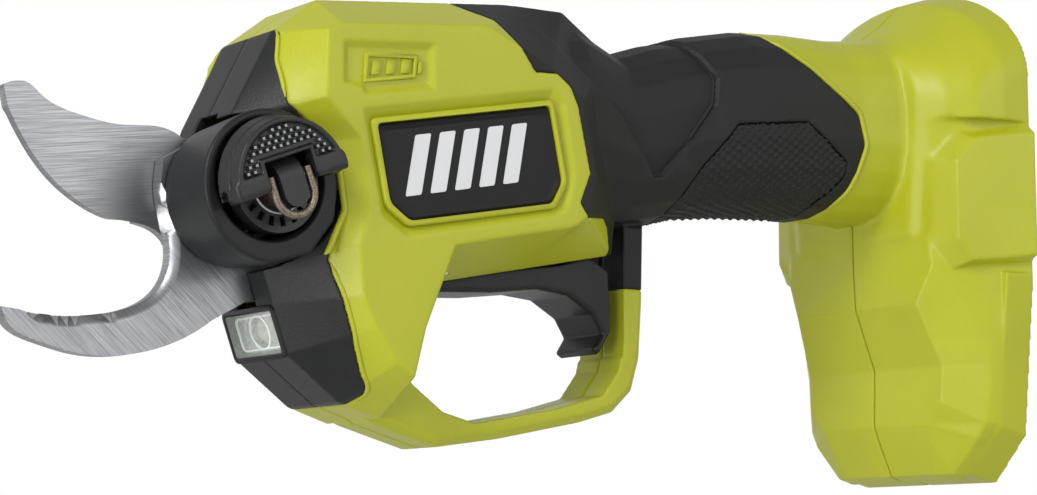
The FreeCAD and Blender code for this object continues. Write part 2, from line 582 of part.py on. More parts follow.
# ---- electronics and battery dock -------------------------------------------------------------
def electronics():
    board = block(-111, -66, -11, 11, -4, -2.4)
    chips = [block(-106 + 11 * i, -99 + 11 * i, -5, 4, -2.4, 0.6) for i in range(3)]
    can = rod(4, V(-72, 5, -2.4), V(-72, 5, 8))
    save("control_board", fused([board, can] + chips))
    save("heat_sink", block(-110, -76, -9, 9, -7.4, -4.1))
    terminals = [(-7, 6), (7, 6), (0, 6)]
    sleeve = stem_box(-STEM_DEPTH - 2, -POCKET_DEPTH - 0.1, SLEEVE_T).cut(stem_box(-STEM_DEPTH, 1, 0))
    for y, z in terminals:
        sleeve = sleeve.cut(block(-60, -50, y - 0.55, y + 0.55, z - 3.45, z + 3.45))
    save("stem_sleeve", sleeve)
    save("battery_terminals", *[block(-59, -38, y - 0.5, y + 0.5, z - 3.4, z + 3.4)
                                for y, z in terminals])
    save("latch_strikes", latch_strike(0), mirror(latch_strike(0)))
    screws = []
    for x, z in SCREWS:
        reach = 4 if x > -100 or x < -180 else 6
        shank = rod(PILOT_R - 0.05, V(x, -reach, z), V(x, SEAT_Y + 1, z))
        head = rod(HEAD_HOLE_R - 0.2, V(x, SEAT_Y + 0.1, z), V(x, SEAT_Y + 2.4, z))
        screws.append(fused([shank, head]))
    save("housing_screws", *screws)
    leads = []
    for y in (-3, 0, 3):
        leads.append(rod(0.9, V(-131.6, y, -11), V(-112.0, y, -3.2)))
    save("motor_leads", *leads)
    save("battery_leads", rod(1.2, V(-65.2, -7, 3), V(-60.2, -7, 5)),
         rod(1.2, V(-65.2, 7, 3), V(-60.2, 7, 5)))


grip_skins()
badges()
lamp()
blades()
collar_and_cap()
tension_knob()
wire_loop()
flip_lever()
drive()
trigger()
electronics()
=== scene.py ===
import json
import math

import bmesh
import bpy
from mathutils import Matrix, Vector
from mathutils.bvhtree import BVHTree


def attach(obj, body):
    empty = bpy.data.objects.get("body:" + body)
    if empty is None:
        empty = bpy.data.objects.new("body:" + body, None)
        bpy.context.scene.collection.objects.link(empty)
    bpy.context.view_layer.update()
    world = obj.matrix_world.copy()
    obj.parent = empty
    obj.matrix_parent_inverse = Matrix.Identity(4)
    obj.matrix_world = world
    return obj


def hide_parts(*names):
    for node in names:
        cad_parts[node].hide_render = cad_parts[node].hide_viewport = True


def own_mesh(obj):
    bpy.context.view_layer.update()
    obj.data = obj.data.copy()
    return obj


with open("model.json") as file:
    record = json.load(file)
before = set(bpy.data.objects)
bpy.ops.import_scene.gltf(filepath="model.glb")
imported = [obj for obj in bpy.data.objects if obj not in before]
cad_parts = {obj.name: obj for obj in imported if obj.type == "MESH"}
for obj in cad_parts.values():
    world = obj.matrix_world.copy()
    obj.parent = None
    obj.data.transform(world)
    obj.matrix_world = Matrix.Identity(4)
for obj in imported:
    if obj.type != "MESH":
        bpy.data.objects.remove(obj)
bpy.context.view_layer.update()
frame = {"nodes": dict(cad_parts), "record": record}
nodes = frame["nodes"]
MM = 0.001
SIDES = (("left", -1), ("right", 1))
bpy.context.scene.view_settings.view_transform = "Standard"


# ---- materials ------------------------------------------------------------------------------
def material(name, base, rough, metallic=0.0, **extra):
    """A material with its plain values set on the shader's sockets."""
    m = bpy.data.materials.new(name)
    m.use_nodes = True
    shader = m.node_tree.nodes["Principled BSDF"]
    shader.inputs["Base Color"].default_value = (*base, 1)
    shader.inputs["Roughness"].default_value = rough
    shader.inputs["Metallic"].default_value = metallic
    for key, value in extra.items():
        shader.inputs[key.replace("_", " ")].default_value = value
    return m


def shader_of(m):
    return m.node_tree.nodes["Principled BSDF"]


def place(m, stretch=(1, 1, 1), turn=(0, 0, 0)):
    """Object coordinates in metres, turned and then stretched."""
    tree = m.node_tree
    coords = tree.nodes.new("ShaderNodeTexCoord")
    rotate = tree.nodes.new("ShaderNodeMapping")
    rotate.inputs["Rotation"].default_value = turn
    scale = tree.nodes.new("ShaderNodeMapping")
    scale.inputs["Scale"].default_value = stretch
    tree.links.new(coords.outputs["Object"], rotate.inputs["Vector"])
    tree.links.new(rotate.outputs["Vector"], scale.inputs["Vector"])
    return scale.outputs["Vector"]


def noise(m, scale, detail=2.0, rough=0.5, stretch=(1, 1, 1), turn=(0, 0, 0)):
    tree = m.node_tree
    node = tree.nodes.new("ShaderNodeTexNoise")
    node.inputs["Scale"].default_value = scale
    node.inputs["Detail"].default_value = detail
    node.inputs["Roughness"].default_value = rough
    tree.links.new(place(m, stretch, turn), node.inputs["Vector"])
    return node.outputs["Fac"]


def ramp(m, source, stops):
    tree = m.node_tree
    node = tree.nodes.new("ShaderNodeValToRGB")
    band = node.color_ramp
    while len(band.elements) < len(stops):
        band.elements.new(0.5)
    for element, (at, color) in zip(band.elements, stops):
        element.position = at
        element.color = (*color, 1)
    tree.links.new(source, node.inputs["Fac"])
    return node.outputs["Color"]


def bump(m, height, strength, distance):
    tree = m.node_tree
    node = tree.nodes.new("ShaderNodeBump")
    node.inputs["Strength"].default_value = strength
    node.inputs["Distance"].default_value = distance
    tree.links.new(height, node.inputs["Height"])
    tree.links.new(node.outputs["Normal"], shader_of(m).inputs["Normal"])


def grey(value):
    return (value, value, value)


def moulded(name, base, rough, grain, depth, vary, fleck=0.0, shine=0.5):
    """Injection-moulded plastic: spark-eroded grain, a slight drift of colour and gloss."""
    m = material(name, base, rough, Specular_IOR_Level=shine)
    tree, shader = m.node_tree, shader_of(m)
    fine = noise(m, grain, 3, 0.6)
    drift = noise(m, 40, 3)
    low = tuple(c * (1 - vary) for c in base)
    high = tuple(min(1, c * (1 + vary)) for c in base)
    color = ramp(m, drift, [(0.3, low), (0.7, high)])
    if fleck:
        mix = tree.nodes.new("ShaderNodeMix")
        mix.data_type = "RGBA"
        mix.blend_type = "OVERLAY"
        mix.inputs["Factor"].default_value = fleck
        tree.links.new(color, mix.inputs["A"])
        tree.links.new(ramp(m, fine, [(0.35, grey(0.25)), (0.65, grey(0.8))]), mix.inputs["B"])
        color = mix.outputs["Result"]
    tree.links.new(color, shader.inputs["Base Color"])
    tree.links.new(ramp(m, fine, [(0.3, grey(rough - 0.06)), (0.7, grey(rough + 0.08))]),
                   shader.inputs["Roughness"])
    bump(m, fine, 0.4, depth)
    return m


def brushed(name, base, rough, turn, streak, depth):
    """Ground steel: long fine scratches in one direction, with some deeper ones among them."""
    m = material(name, base, rough, 1.0)
    tree, shader = m.node_tree, shader_of(m)
    lines = noise(m, 1.0, 5, 0.65, streak, turn)
    patches = noise(m, 60, 2)
    dark = tuple(c * 0.62 for c in base)
    mix = tree.nodes.new("ShaderNodeMix")
    mix.data_type = "RGBA"
    mix.blend_type = "MULTIPLY"
    mix.inputs["Factor"].default_value = 0.5
    tree.links.new(ramp(m, lines, [(0.32, dark), (0.62, base)]), mix.inputs["A"])
    tree.links.new(ramp(m, patches, [(0.3, grey(0.8)), (0.7, grey(1.0))]), mix.inputs["B"])
    tree.links.new(mix.outputs["Result"], shader.inputs["Base Color"])
    tree.links.new(ramp(m, lines, [(0.3, grey(rough + 0.16)), (0.7, grey(rough - 0.05))]),
                   shader.inputs["Roughness"])
    bump(m, lines, 0.5, depth)
    return m


def speckled(name, base, fleck_color, rough, grain):
    """Metal with pits and flecks of a second colour."""
    m = material(name, base, rough, 0.85)
    tree, shader = m.node_tree, shader_of(m)
    spots = noise(m, grain, 4, 0.7)
    tree.links.new(ramp(m, spots, [(0.40, fleck_color), (0.55, base)]), shader.inputs["Base Color"])
    tree.links.new(ramp(m, spots, [(0.35, grey(rough + 0.2)), (0.6, grey(rough))]),
                   shader.inputs["Roughness"])
    bump(m, spots, 0.5, 0.00008)
    return m


LIME = (0.365, 0.385, 0.012)
lime = moulded("lime_plastic", LIME, 0.38, 2600, 0.00007, 0.035, 0.05, 0.42)
black = moulded("black_plastic", (0.0095, 0.0100, 0.0105), 0.40, 2400, 0.00016, 0.12, 0.35, 0.28)
rubber = moulded("soft_rubber", (0.0085, 0.0085, 0.0088), 0.55, 3000, 0.00012, 0.10, 0.25, 0.30)
lever_skin = moulded("lever_plastic", (0.0120, 0.0125, 0.0130), 0.36, 2000, 0.00016, 0.12, 0.40, 0.40)
# Painted highlight: a lighter grey for the flat stud tops, standing in for the light they catch.
painted_highlight_tip = moulded("painted_highlight_tips", (0.26, 0.265, 0.27), 0.34, 3000, 0.00006, 0.15, 0.30, 0.5)
badge_skin = moulded("badge_plastic", (0.0050, 0.0050, 0.0055), 0.36, 1500, 0.00005, 0.10, 0.1, 0.22)
trigger_skin = moulded("trigger_plastic", (0.011, 0.011, 0.012), 0.34, 2200, 0.00014, 0.15, 0.30, 0.28)
print_silver = moulded("badge_print", (0.60, 0.61, 0.62), 0.45, 3000, 0.00003, 0.03)
cutter_steel = brushed("cutter_steel", (0.40, 0.41, 0.425), 0.34, (0, 0.14, 0), (60, 60, 3800), 0.00003)
hook_steel = brushed("hook_steel", (0.40, 0.41, 0.425), 0.34, (0, -0.72, 0), (90, 90, 4200), 0.00003)
# The ground bevels are real; their near-white colour is partly a painted glint, far brighter than the steel
# of the blade faces.
ground_bevel_painted_glint = brushed("ground_bevel_painted_glint", (0.93, 0.94, 0.95), 0.30, (0, 0.8, 0), (300, 300, 5000), 0.00001)
machined = brushed("machined_steel", (0.50, 0.50, 0.51), 0.32, (0, 0, 0), (400, 1500, 1500), 0.00002)
bronze = speckled("sintered_bronze", (0.30, 0.245, 0.195), (0.06, 0.045, 0.035), 0.34, 3800)
dark_bronze = speckled("dark_bronze", (0.16, 0.11, 0.08), (0.05, 0.035, 0.025), 0.36, 2600)
led_skin = material("led_dome", (0.70, 0.72, 0.68), 0.06, 0.0, Alpha=0.50, IOR=1.49)
led_tint = ramp(led_skin, noise(led_skin, 320, 3),
                [(0.35, (0.40, 0.44, 0.38)), (0.65, (0.95, 0.96, 0.93))])
led_skin.node_tree.links.new(led_tint, shader_of(led_skin).inputs["Base Color"])
magnet = moulded("magnet", (0.05, 0.05, 0.055), 0.45, 1800, 0.00006, 0.08)
alloy = brushed("alloy", (0.62, 0.63, 0.64), 0.36, (0, 0, 0), (300, 1800, 300), 0.00002)
board = moulded("circuit_board", (0.012, 0.10, 0.035), 0.35, 900, 0.00003, 0.2)
lead_cover = moulded("lead_cover", (0.30, 0.016, 0.012), 0.45, 1500, 0.00004, 0.05)
reflector = speckled("reflector", (0.60, 0.62, 0.60), (0.34, 0.37, 0.34), 0.14, 700)
# Painted highlight: an opaque near-white for the thin lines where the lens frame and the LED rim catch
# light.
painted_highlight_edge = moulded("lens_edge_painted_highlight", (0.85, 0.90, 0.86), 0.30, 1500, 0.00002, 0.03)
lens_skin = material("clear_lens", (0.80, 0.86, 0.80), 0.04, 0.0, Alpha=0.20, IOR=1.49)
tint = noise(lens_skin, 220, 2)
lens_tint = ramp(lens_skin, tint, [(0.3, (0.66, 0.74, 0.66)), (0.7, (0.84, 0.88, 0.82))])
lens_skin.node_tree.links.new(lens_tint, shader_of(lens_skin).inputs["Base Color"])

SLOT_SKINS = {
    "green_plastic": lime, "black_plastic": black, "soft_grip": rubber,
    "badge_plastic": badge_skin, "clear_lens": lens_skin, "reflector": reflector,
    "circuit_board": board, "blade_steel": cutter_steel, "plain_steel": machined,
    "bronze": bronze, "magnet": magnet, "alloy": alloy, "lead_cover": lead_cover,
}
NODE_SKINS = {"hook_blade": hook_steel, "trigger": trigger_skin, "flip_lever": lever_skin,
              "tension_knob": lever_skin}
node_body = {node: body for body, members in frame["record"]["behaviour"]["bodies"].items()
             for node in members}
for row in frame["record"]["subparts"]:
    mesh = nodes[row["node"]].data
    mesh.materials.clear()
    mesh.materials.append(NODE_SKINS.get(row["node"], SLOT_SKINS[row["material_slot"]]))


# ---- mesh helpers ---------------------------------------------------------------------------
def new_object(name, mesh):
    obj = bpy.data.objects.new(name, mesh)
    bpy.context.scene.collection.objects.link(obj)
    return obj


def from_bmesh(name, bm):
    bmesh.ops.recalc_face_normals(bm, faces=bm.faces)
    mesh = bpy.data.meshes.new(name)
    bm.to_mesh(mesh)
    bm.free()
    return new_object(name, mesh)


def evaluated(obj):
    """Applies the object's modifiers to its mesh."""
    bpy.context.view_layer.update()
    graph = bpy.context.evaluated_depsgraph_get()
    mesh = bpy.data.meshes.new_from_object(obj.evaluated_get(graph))
    old = obj.data
    obj.modifiers.clear()
    obj.data = mesh
    if old.users == 0:
        bpy.data.meshes.remove(old)
    return obj


def drop(obj):
    mesh = obj.data
    bpy.data.objects.remove(obj)
    bpy.data.meshes.remove(mesh)


def boolean(obj, other, operation="DIFFERENCE"):
    """Cuts other out of obj, or joins or intersects them, and deletes other."""
    step = obj.modifiers.new("boolean", "BOOLEAN")
    step.operation = operation
    step.solver = "EXACT"
    step.object = other
    evaluated(obj)
    drop(other)
    return obj


WELDS = (1e-8, 1e-7, 2e-6)      # metres


def copy_of(node, name):
    """A welded copy of a CAD node's mesh, with the weld that leaves the fewest open edges."""
    best, fewest = None, None
    for distance in WELDS:
        bm = bmesh.new()
        bm.from_mesh(nodes[node].data)
        bmesh.ops.remove_doubles(bm, verts=bm.verts, dist=distance)
        bmesh.ops.dissolve_degenerate(bm, dist=1e-8, edges=bm.edges)
        torn = sum(not edge.is_manifold for edge in bm.edges)
        if fewest is None or torn < fewest:
            best = bpy.data.meshes.new(name)
            bm.to_mesh(best)
            fewest = torn
        bm.free()
    return new_object(name, best)


def twin(obj, name):
    return new_object(name, obj.data.copy())


def smooth_more(obj, rounds, weight):
    """Smooths where weight(point) is above zero."""
    group = obj.vertex_groups.new(name="soft")
    for v in obj.data.vertices:
        amount = weight(v.co)
        if amount > 0:
            group.add([v.index], amount, "REPLACE")
    step = obj.modifiers.new("melt", "SMOOTH")
    step.vertex_group = "soft"
    step.factor = 0.5
    step.iterations = rounds
    evaluated(obj)
    obj.vertex_groups.clear()


def thinned(obj, keep):
    step = obj.modifiers.new("thin", "DECIMATE")
    step.ratio = keep
    return shade(evaluated(obj))


def soften(obj, voxel, rounds, keep):
    """Rounds every edge a little: remesh at voxel metres, smooth, and thin the flat areas."""
    remesh = obj.modifiers.new("remesh", "REMESH")
    remesh.mode = "VOXEL"
    remesh.voxel_size = voxel
    smooth = obj.modifiers.new("smooth", "SMOOTH")
    smooth.factor = 0.5
    smooth.iterations = rounds
    evaluated(obj)
    return thinned(obj, keep) if keep < 1 else shade(obj)


def joined(obj, other):
    """Adds the other piece's mesh to obj."""
    bm = bmesh.new()
    bm.from_mesh(obj.data)
    bm.from_mesh(other.data)
    bm.to_mesh(obj.data)
    bm.free()
    drop(other)
    return obj


def shade(obj):
    for polygon in obj.data.polygons:
        polygon.use_smooth = True
    return obj


def rounded_edges(obj, width, segments=3, angle=30):
    """Bevels the edges sharper than angle, for pieces with clean meshes."""
    bevel = obj.modifiers.new("bevel", "BEVEL")
    bevel.width = width
    bevel.segments = segments
    bevel.limit_method = "ANGLE"
    bevel.angle_limit = math.radians(angle)
    bevel.harden_normals = True
    evaluated(obj)
    return shade(obj)


def piece(obj, body, slot, skin, *replaced):
    obj.data.materials.clear()
    obj.data.materials.append(skin)
    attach(obj, body)
    if replaced:
        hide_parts(*replaced)
    return obj


def second_skin(obj, skin, wanted):
    """Gives the faces that wanted(face) picks a second material."""
    obj.data.materials.append(skin)
    for f in obj.data.polygons:
        f.material_index = 1 if wanted(f) else 0


# ---- outlines in the XZ plane, in millimetres ---------------------------------------------------
def turning(points):
    """+1 if the outline runs anticlockwise in (x, z), -1 if clockwise."""
    area = 0
    for (x0, z0), (x1, z1) in zip(points, points[1:] + points[:1]):
        area += x0 * z1 - x1 * z0
    return 1 if area > 0 else -1


def grown(points, distance):
    """The outline moved outwards by distance, with mitred corners."""
    sign = turning(points)
    result = []
    count = len(points)
    for i in range(count):
        before, here, after = (Vector(points[j % count]) for j in (i - 1, i, i + 1))
        a, b = (here - before).normalized(), (after - here).normalized()
        out_a, out_b = Vector((a.y, -a.x)) * sign, Vector((b.y, -b.x)) * sign
        middle = (out_a + out_b).normalized()
        reach = distance / max(0.35, middle.dot(out_a))
        result.append(tuple(here + middle * reach))
    return result


def filleted(points, radius, steps=5):
    """The outline with each corner rounded."""
    result = []
    count = len(points)
    for i in range(count):
        before, here, after = (Vector(points[j % count]) for j in (i - 1, i, i + 1))
        reach = min(radius, 0.45 * (here - before).length, 0.45 * (after - here).length)
        start = here + (before - here).normalized() * reach
        end = here + (after - here).normalized() * reach
        for k in range(steps + 1):
            t = k / steps
            spot = start * (1 - t) ** 2 + here * 2 * t * (1 - t) + end * t ** 2
            result.append(tuple(spot))
    return result


def layered(name, levels):
    """A closed solid through (y, outline) levels; every outline has the same number of points."""
    bm = bmesh.new()
    rings = [[bm.verts.new((x * MM, y * MM, z * MM)) for x, z in outline] for y, outline in levels]
    for lower, upper in zip(rings, rings[1:]):
        for i in range(len(lower)):
            j = (i + 1) % len(lower)
            bm.faces.new((lower[i], lower[j], upper[j], upper[i]))
    bm.faces.new(rings[0])
    bm.faces.new(rings[-1])
    return from_bmesh(name, bm)


def slab(name, outline, y0, y1):
    return layered(name, [(y0, outline), (y1, outline)])


def hull(name, points):
    """The convex solid through points in millimetres."""
    bm = bmesh.new()
    for x, y, z in points:
        bm.verts.new((x * MM, y * MM, z * MM))
    bmesh.ops.convex_hull(bm, input=bm.verts)
    return from_bmesh(name, bm)


def revolve(name, profile, put, segments=72):
    """A closed solid of revolution from (along, radius) points; put maps (along, u, v) to metres."""
    bm = bmesh.new()
    rings = []
    for along, radius in profile:
        turns = [2 * math.pi * i / segments for i in range(segments)]
        spots = [(radius * math.cos(a), radius * math.sin(a)) for a in turns] if radius else [(0, 0)]
        rings.append([bm.verts.new(put(along, u, v)) for u, v in spots])
    pairs = list(zip(rings, rings[1:]))
    if profile[0][1] and profile[-1][1]:
        pairs.append((rings[-1], rings[0]))
    for near, far in pairs:
        for i in range(segments):
            j = (i + 1) % segments
            corners = [near[i % len(near)], near[j % len(near)], far[j % len(far)], far[i % len(far)]]
            bm.faces.new(list(dict.fromkeys(corners)))
    return from_bmesh(name, bm)


def tube_along(name, path, radius, cyclic=False, taper=True):
    """A round bead along points in metres, as a mesh."""
    curve = bpy.data.curves.new(name, "CURVE")
    curve.dimensions = "3D"
    curve.bevel_depth = radius
    curve.bevel_resolution = 3
    curve.use_fill_caps = True
    spline = curve.splines.new("POLY")
    spline.points.add(len(path) - 1)
    for i, (point, at) in enumerate(zip(spline.points, path)):
        point.co = (*at, 1)
        ends = min(i, len(path) - 1 - i)
        point.radius = min(1.0, 0.25 + ends * 0.25) if taper and not cyclic else 1.0
    spline.use_cyclic_u = cyclic
    holder = bpy.data.objects.new(name, curve)
    bpy.context.scene.collection.objects.link(holder)
    bpy.context.view_layer.update()
    graph = bpy.context.evaluated_depsgraph_get()
    mesh = bpy.data.meshes.new_from_object(holder.evaluated_get(graph))
    bpy.data.objects.remove(holder)
    bpy.data.curves.remove(curve)
    return shade(new_object(name, mesh))


def surface_of(*names):
    """A ray target made of CAD nodes."""
    bm = bmesh.new()
    for name in names:
        bm.from_mesh(nodes[name].data)
    tree = BVHTree.FromBMesh(bm)
    bm.free()
    return tree


RAY = 0.06      # metres from the parting plane, outside every piece


def laid_path(target, points, side, step=0.8):
    """The line through (x, z) points in millimetres, laid on the surface seen from that side."""
    path = []
    for a, b in zip(points, points[1:]):
        a, b = Vector(a), Vector(b)
        count = max(1, round((b - a).length / step))
        for k in range(count):
            spot = a.lerp(b, k / count)
            start = Vector((spot.x * MM, side * RAY, spot.y * MM))
            hit = target.ray_cast(start, Vector((0, -side, 0)), RAY)[0]
            if hit is not None:
                path.append(hit)
    for _ in range(3):
        inner = [(p + q * 2 + r) / 4 for p, q, r in zip(path, path[1:], path[2:])]
        path = [path[0]] + inner + [path[-1]]
    return path


# ---- shells: lime housing, black skin on the head, nose covers, grip skins --------------------------
FACE = 27.0         # the head's side face, from the parting plane
SEAM = 0.16         # half the gap between the two halves
BADGE = [(-197.3, -15.7), (-149.7, -6.4), (-146, -23.9), (-148.8, -29),
         (-188.5, -36.4), (-193.7, -32.9)]
VALLEY = [(-201.4, -12.4), (-148.6, -2.1), (-145, -5.0), (-142.1, -21.6), (-144.2, -30.2),
          (-147.6, -32.2), (-189.4, -40.4), (-196.2, -36.2)]
WINDOW = [(-206.4, 2.2), (-182, 4.5), (-182, -6.2), (-200.6, -9.5), (-201.5, -8.0),
          (-206.4, -7.6)]
HEAD_SKIN = [(-172, 24), (-163, 13.5), (-153.6, 1.2), (-147.2, 1.7), (-143.6, -0.7), (-141.2, -5.4),
             (-137.6, -21.2), (-140.6, -28.4), (-138.2, -31.6), (-127.5, -29.9), (-124, -31.5),
             (-120.6, -37.5), (-118, -45), (-100, -45), (-100, 40), (-172, 40)]


# Dock front in level sections: z, then (x, half width) from the parting plane outwards.
DOCK_BACK, DOCK_TOP = -9.05, -27.0
DOCK_LEVELS = [
    (-27.0, (-28.0, 0), (-26.5, 26.0), (-22.5, 29.3), (-17.0, 33.4), (DOCK_BACK, 36.4)),
    (-34.5, (-27.9, 0), (-25.8, 27.4), (-24.0, 28.6), (-17.0, 33.2), (DOCK_BACK, 36.3)),
    (-44.6, (-27.3, 0), (-27.3, 22.6), (-17.9, 31.9), (-13.0, 34.6), (DOCK_BACK, 36.4)),
    (-53.8, (-23.5, 0), (-23.5, 24.0), (-12.3, 34.9), (-10.8, 35.6), (DOCK_BACK, 36.3)),
    (-60.5, (-20.7, 0), (-20.7, 25.1), (-12.2, 34.7), (-10.8, 35.4), (DOCK_BACK, 35.9)),
    (-70.0, (-21.0, 0), (-21.0, 24.7), (-12.4, 34.0), (-10.8, 34.6), (DOCK_BACK, 35.1)),
    (-75.6, (-21.1, 0), (-21.1, 20.0), (-12.8, 33.0), (-10.8, 34.0), (DOCK_BACK, 34.5)),
    (-79.4, (-19.5, 0), (-19.5, 19.0), (-13.4, 30.5), (-10.8, 31.2), (DOCK_BACK, 31.6)),
    (-88.6, (-15.1, 0), (-15.1, 16.5), (-13.6, 21.6), (-10.8, 23.0), (DOCK_BACK, 23.6)),
    (-90.0, (-11.4, 0), (-11.4, 13.5), (-10.8, 18.5), (-10.0, 20.0), (DOCK_BACK, 21.5)),
]
# The dock's flank in plan, (x, half width), and the latch block that stands on it.
FLANK = [(-28.6, 24.0), (-26.0, 26.8), (-17.0, 33.2), (-9.0, 36.3), (0.5, 38.9)]
BLOCK_FOOT = [(-25.8, 27.0, -29), (-21.7, 29.8, -36), (-0.6, 38.6, -33.5), (-0.6, 38.6, 3.5),
              (-20.4, 30.8, 0.5), (-25.8, 27.0, -7)]
BLOCK_FACE = [(-23.0, 34.8, -28.1), (-19.0, 35.97, -33.7), (-0.6, 41.4, -31.5), (-0.6, 41.4, 1.0),
              (-17.4, 36.45, -1.6), (-23.0, 34.8, -7.9)]


def latch_block(side):
    root = [(x, y - 4, z) for x, y, z in BLOCK_FOOT]
    return hull("block", [(x, side * y, z) for x, y, z in root + BLOCK_FOOT + BLOCK_FACE])


def column(name, outline, z0, z1):
    """A solid with an (x, y) outline, from z0 to z1."""
    bm = bmesh.new()
    rings = [[bm.verts.new((x * MM, y * MM, z * MM)) for x, y in outline] for z in (z0, z1)]
    for i in range(len(outline)):
        j = (i + 1) % len(outline)
        bm.faces.new((rings[0][i], rings[0][j], rings[1][j], rings[1][i]))
    bm.faces.new(rings[0])
    bm.faces.new(rings[1])
    return from_bmesh(name, bm)


def flank_room(side):
    """What lies outside the flank beside the latch block."""
    outline = FLANK + [(0.5, 50), (-45, 50), (-45, 24.0)]
    return column("flank_room", [(x, side * y) for x, y in outline], -36.3, 3.8)


def flank_wall(side):
    """The wall behind the flank."""
    outer = [(-21.5, 30.0)] + FLANK[2:-1]
    inner = [(x + 2.0, y - 3.4) for x, y in reversed(outer)]
    return column("flank_wall", [(x, side * y) for x, y in outer + inner], -36.5, 6.0)


def dock_front(side):
    """One half of the dock's faceted front, as a solid."""
    bm = bmesh.new()
    rings = []
    for z, *section in DOCK_LEVELS:
        corners = section + [(DOCK_BACK, 0)]
        rings.append([bm.verts.new((x * MM, side * max(y, SEAM) * MM, z * MM)) for x, y in corners])
    for upper, lower in zip(rings, rings[1:]):
        for i in range(len(upper)):
            j = (i + 1) % len(upper)
            bm.faces.new((upper[i], upper[j], lower[j], lower[i]))
    bm.faces.new(rings[0])
    bm.faces.new(rings[-1])
    return from_bmesh("front", bm)


def ease(value, low, high):
    """0 below low, 1 above high, smooth between."""
    t = min(1, max(0, (value - low) / (high - low)))
    return t * t * (3 - 2 * t)


def neck_weight(point):
    """1 where the grip flares into the dock, clear of the parting plane, rim and latch blocks."""
    x, y, z = point.x / MM, abs(point.y) / MM, point.z / MM
    rear = ease(z, 6, 10)
    along = ease(x, -66, -50) * (1 - ease(x, -13 + 8 * rear, -9 + 6 * rear))
    high = ease(z, -36, -28) if y < 33 else rear
    return along * high * ease(y, 1.5, 5)


ARCH = [(-28, 24, 27), (-23, 31, 30), (-17, 36.5, 34), (-9, 38.5, 41), (0.1, 39, 44)]  # x, half width, top
ARCH_RISE = 0.72        # the arch's height over its half width
ARCH_STEP = 22.5        # degrees between the corners of the CAD's arch


def round_arch(obj):
    """Pushes the flats of the dock's arch out to a true ellipse."""
    for v in obj.data.vertices:
        x, y, z = (c / MM for c in v.co)
        for (x0, half0, top0), (x1, half1, top1) in zip(ARCH, ARCH[1:]):
            if x0 <= x <= x1:
                t = (x - x0) / (x1 - x0)
                centre = top0 + (top1 - top0) * t - ARCH_RISE * (half0 + (half1 - half0) * t)
                if z > centre:
                    angle = math.degrees(math.atan2((z - centre) / ARCH_RISE, abs(y)))
                    off_middle = math.radians(angle % ARCH_STEP - ARCH_STEP / 2)
                    scale = math.cos(off_middle) / math.cos(math.radians(ARCH_STEP / 2))
                    v.co.y *= scale
                    v.co.z = (centre + (z - centre) * scale) * MM
                break


def shell_pieces(side_name, side):
    node = f"housing_{side_name}"
    shell = copy_of(node, f"shell_{side_name}")
    boolean(shell, slab("gap", [(-250, -120), (20, -120), (20, 80), (-250, 80)], -SEAM, SEAM))
    face = side * FACE
    valley = [(side * 29, grown(VALLEY, 1.4)), (face, VALLEY), (side * 25.5, grown(VALLEY, -2.5))]
    boolean(shell, layered("valley", valley))
    window = [(side * 29, grown(WINDOW, 1.4)), (face, WINDOW), (side * 26.0, grown(WINDOW, -1.3))]
    boolean(shell, layered("window", window))
    room = [(x, side * y, z)
            for x in (-45, DOCK_BACK - 0.35) for y in (-1, 45) for z in (DOCK_TOP, -95)]
    boolean(shell, hull("room", room))
    boolean(shell, flank_room(side))
    head_skin = twin(shell, "head_skin")
    boolean(head_skin, slab("zone", HEAD_SKIN, -side, side * 60), "INTERSECT")
    boolean(shell, slab("zone", HEAD_SKIN, -side, side * 60))
    joined(shell, dock_front(side))
    joined(shell, latch_block(side))
    joined(shell, flank_wall(side))
    soften(shell, 0.42 * MM, 4, 1)
    round_arch(shell)
    smooth_more(shell, 60, neck_weight)
    thinned(shell, 0.3)
    piece(shell, "tool", "green_plastic", lime, node)
    nose = soften(copy_of(f"nose_cover_{side_name}", f"nose_shell_{side_name}"), 0.36 * MM, 3, 0.4)
    piece(nose, "tool", "black_plastic", black, f"nose_cover_{side_name}")
    return head_skin


# The step in the soft grip, from its top edge down and forward again.
S_LINE = [(-98.0, 30), (-96.5, 24), (-94.3, 16.3), (-89.9, 8.6), (-91.6, 1.1), (-101.2, -11.2),
          (-107.6, -18.0), (-110.6, -18.6), (-114.6, -13.5), (-122, -5), (-134, 4)]


def nearest(points, x, z):
    """(distance in mm from (x, z) to the open line, +1 on its left or -1 on its right)."""
    best, hand = 1e9, 1
    spot = Vector((x, z))
    for a, b in zip(points, points[1:]):
        a, b = Vector(a), Vector(b)
        run = b - a
        t = min(1, max(0, (spot - a).dot(run) / run.length_squared))
        gap = spot - (a + run * t)
        if gap.length < best:
            best = gap.length
            hand = 1 if run.x * (spot.y - a.y) - run.y * (spot.x - a.x) > 0 else -1
    return best, hand


def step_in(obj, line, depth, fade):
    """Sinks the surface on the right of the line, deepest at the line."""
    mesh = obj.data
    moves = []
    for v in mesh.vertices:
        distance, hand = nearest(line, v.co.x / MM, v.co.z / MM)
        if hand < 0 and distance < 4 * fade:
            rise = min(1.0, distance / 0.5)
            moves.append((v.index, v.normal * (-depth * rise * math.exp(-distance / fade) * MM)))
    for index, move in moves:
        mesh.vertices[index].co += move
    mesh.update()


